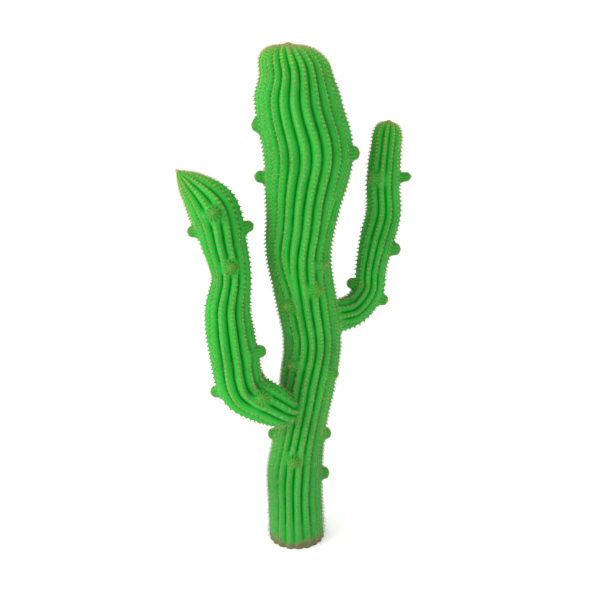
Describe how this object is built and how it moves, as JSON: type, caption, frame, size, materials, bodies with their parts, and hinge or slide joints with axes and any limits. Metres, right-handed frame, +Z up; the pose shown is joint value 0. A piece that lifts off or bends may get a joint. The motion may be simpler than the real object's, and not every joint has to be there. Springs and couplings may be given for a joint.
{
  "type": "saguaro cactus",
  "caption": "Saguaro cactus: a ribbed, spiny green trunk on a flat foot, with upturned arms to either side and young arms budding on it.",
  "frame": {"origin": "middle of the flat cut under the trunk, at ground level", "axes": "+Z up along the trunk; -Y is the plant's front; +X is its right as seen from the front, the side of the slimmer arm"},
  "size_m": [1.7558, 0.9169, 4],
  "materials": {
    "trunk_skin": "matte",
    "arm_skin": "matte",
    "young_arm_skin": "matte",
    "spines": "satin",
    "spine_pad_wool": "matte"
  },
  "bodies": {
    "root": {"left_arm": "arm_skin", "left_arm_bud_01": "young_arm_skin", "left_arm_bud_02": "young_arm_skin", "left_arm_bud_03": "young_arm_skin", "left_arm_bud_04": "young_arm_skin", "left_arm_bud_05": "young_arm_skin", "left_arm_bud_06": "young_arm_skin", "left_arm_bud_07": "young_arm_skin", "left_arm_bud_08": "young_arm_skin", "left_arm_bud_09": "young_arm_skin", "left_arm_foot": "arm_skin", "left_arm_foot_bud_01": "young_arm_skin", "left_arm_foot_bud_02": "young_arm_skin", "right_arm": "arm_skin", "right_arm_bud_01": "young_arm_skin", "right_arm_bud_02": "young_arm_skin", "right_arm_bud_03": "young_arm_skin", "right_arm_bud_04": "young_arm_skin", "right_arm_bud_05": "young_arm_skin", "right_arm_bud_06": "young_arm_skin", "right_arm_bud_07": "young_arm_skin", "right_arm_bud_08": "young_arm_skin", "right_arm_foot": "arm_skin", "trunk": "trunk_skin", "trunk_bud_01": "young_arm_skin", "trunk_bud_02": "young_arm_skin", "trunk_bud_03": "young_arm_skin", "trunk_bud_04": "young_arm_skin", "trunk_bud_05": "young_arm_skin", "trunk_bud_06": "young_arm_skin", "trunk_bud_07": "young_arm_skin", "trunk_bud_08": "young_arm_skin", "trunk_bud_09": "young_arm_skin", "trunk_bud_10": "young_arm_skin", "trunk_bud_11": "young_arm_skin", "trunk_bud_12": "young_arm_skin", "trunk_bud_13": "young_arm_skin", "trunk_bud_14": "young_arm_skin", "trunk_bud_15": "young_arm_skin", "trunk_bud_16": "young_arm_skin", "trunk_bud_17": "young_arm_skin", "trunk_bud_18": "young_arm_skin", "trunk_bud_19": "young_arm_skin", "trunk_bud_20": "young_arm_skin"}
  },
  "joints": []
}
